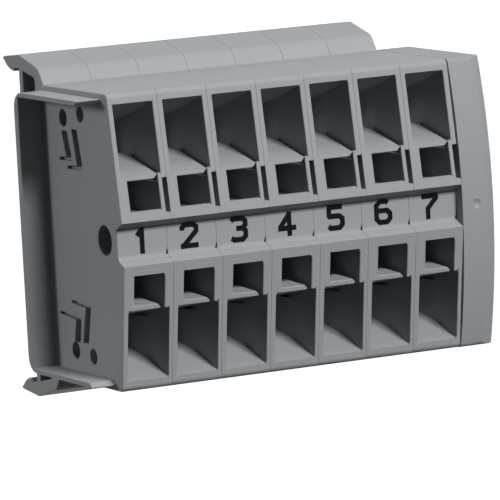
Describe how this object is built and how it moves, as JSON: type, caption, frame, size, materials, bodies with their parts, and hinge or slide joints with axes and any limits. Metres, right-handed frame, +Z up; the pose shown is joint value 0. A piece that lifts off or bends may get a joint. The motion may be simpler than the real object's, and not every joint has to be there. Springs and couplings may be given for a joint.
{
  "type": "terminal block",
  "caption": "Row of nested spring-clamp terminals in grey plastic housings, numbered along the front, with two wire funnels a pole, an end plate and hooked feet for a mounting rail.",
  "frame": {"origin": "on the front plane of the mounting rail, at the rail's centre line, half-way along the row of poles", "axes": "+X along the rail from the first pole to the end plate, -Y to the front where the wires go in, +Z up"},
  "size_m": [0.0498, 0.0282, 0.0384],
  "materials": {
    "housing_plastic": "moulded grey polyamide, fine matt texture",
    "end_plate_plastic": "moulded grey polyamide, fine matt texture",
    "tinned_copper": "stamped copper, tin-plated, dull",
    "spring_steel": "rolled spring steel, bright"
  },
  "bodies": {
    "row": {"housing_1": "housing_plastic", "housing_2": "housing_plastic", "housing_3": "housing_plastic", "housing_4": "housing_plastic", "housing_5": "housing_plastic", "housing_6": "housing_plastic", "housing_7": "housing_plastic", "end_plate": "end_plate_plastic", "current_bar_1": "tinned_copper", "current_bar_2": "tinned_copper", "current_bar_3": "tinned_copper", "current_bar_4": "tinned_copper", "current_bar_5": "tinned_copper", "current_bar_6": "tinned_copper", "current_bar_7": "tinned_copper"},
    "clamp_1_upper": {"clamp_spring_1_upper": "spring_steel"},
    "clamp_1_lower": {"clamp_spring_1_lower": "spring_steel"},
    "clamp_2_upper": {"clamp_spring_2_upper": "spring_steel"},
    "clamp_2_lower": {"clamp_spring_2_lower": "spring_steel"},
    "clamp_3_upper": {"clamp_spring_3_upper": "spring_steel"},
    "clamp_3_lower": {"clamp_spring_3_lower": "spring_steel"},
    "clamp_4_upper": {"clamp_spring_4_upper": "spring_steel"},
    "clamp_4_lower": {"clamp_spring_4_lower": "spring_steel"},
    "clamp_5_upper": {"clamp_spring_5_upper": "spring_steel"},
    "clamp_5_lower": {"clamp_spring_5_lower": "spring_steel"},
    "clamp_6_upper": {"clamp_spring_6_upper": "spring_steel"},
    "clamp_6_lower": {"clamp_spring_6_lower": "spring_steel"},
    "clamp_7_upper": {"clamp_spring_7_upper": "spring_steel"},
    "clamp_7_lower": {"clamp_spring_7_lower": "spring_steel"}
  },
  "joints": [
    {"name": "clamp_opening_1_upper", "type": "slide", "parent": "row", "child": "clamp_1_upper", "axis": [0, 0, 1], "range_m": [0, 0.0022], "stiffness_N_per_m": 9000, "deforming": ["clamp_spring_1_upper"]},
    {"name": "clamp_opening_1_lower", "type": "slide", "parent": "row", "child": "clamp_1_lower", "axis": [0, 0, -1], "range_m": [0, 0.0022], "stiffness_N_per_m": 9000, "deforming": ["clamp_spring_1_lower"]},
    {"name": "clamp_opening_2_upper", "type": "slide", "parent": "row", "child": "clamp_2_upper", "axis": [0, 0, 1], "range_m": [0, 0.0022], "stiffness_N_per_m": 9000, "deforming": ["clamp_spring_2_upper"]},
    {"name": "clamp_opening_2_lower", "type": "slide", "parent": "row", "child": "clamp_2_lower", "axis": [0, 0, -1], "range_m": [0, 0.0022], "stiffness_N_per_m": 9000, "deforming": ["clamp_spring_2_lower"]},
    {"name": "clamp_opening_3_upper", "type": "slide", "parent": "row", "child": "clamp_3_upper", "axis": [0, 0, 1], "range_m": [0, 0.0022], "stiffness_N_per_m": 9000, "deforming": ["clamp_spring_3_upper"]},
    {"name": "clamp_opening_3_lower", "type": "slide", "parent": "row", "child": "clamp_3_lower", "axis": [0, 0, -1], "range_m": [0, 0.0022], "stiffness_N_per_m": 9000, "deforming": ["clamp_spring_3_lower"]},
    {"name": "clamp_opening_4_upper", "type": "slide", "parent": "row", "child": "clamp_4_upper", "axis": [0, 0, 1], "range_m": [0, 0.0022], "stiffness_N_per_m": 9000, "deforming": ["clamp_spring_4_upper"]},
    {"name": "clamp_opening_4_lower", "type": "slide", "parent": "row", "child": "clamp_4_lower", "axis": [0, 0, -1], "range_m": [0, 0.0022], "stiffness_N_per_m": 9000, "deforming": ["clamp_spring_4_lower"]},
    {"name": "clamp_opening_5_upper", "type": "slide", "parent": "row", "child": "clamp_5_upper", "axis": [0, 0, 1], "range_m": [0, 0.0022], "stiffness_N_per_m": 9000, "deforming": ["clamp_spring_5_upper"]},
    {"name": "clamp_opening_5_lower", "type": "slide", "parent": "row", "child": "clamp_5_lower", "axis": [0, 0, -1], "range_m": [0, 0.0022], "stiffness_N_per_m": 9000, "deforming": ["clamp_spring_5_lower"]},
    {"name": "clamp_opening_6_upper", "type": "slide", "parent": "row", "child": "clamp_6_upper", "axis": [0, 0, 1], "range_m": [0, 0.0022], "stiffness_N_per_m": 9000, "deforming": ["clamp_spring_6_upper"]},
    {"name": "clamp_opening_6_lower", "type": "slide", "parent": "row", "child": "clamp_6_lower", "axis": [0, 0, -1], "range_m": [0, 0.0022], "stiffness_N_per_m": 9000, "deforming": ["clamp_spring_6_lower"]},
    {"name": "clamp_opening_7_upper", "type": "slide", "parent": "row", "child": "clamp_7_upper", "axis": [0, 0, 1], "range_m": [0, 0.0022], "stiffness_N_per_m": 9000, "deforming": ["clamp_spring_7_upper"]},
    {"name": "clamp_opening_7_lower", "type": "slide", "parent": "row", "child": "clamp_7_lower", "axis": [0, 0, -1], "range_m": [0, 0.0022], "stiffness_N_per_m": 9000, "deforming": ["clamp_spring_7_lower"]}
  ]
}
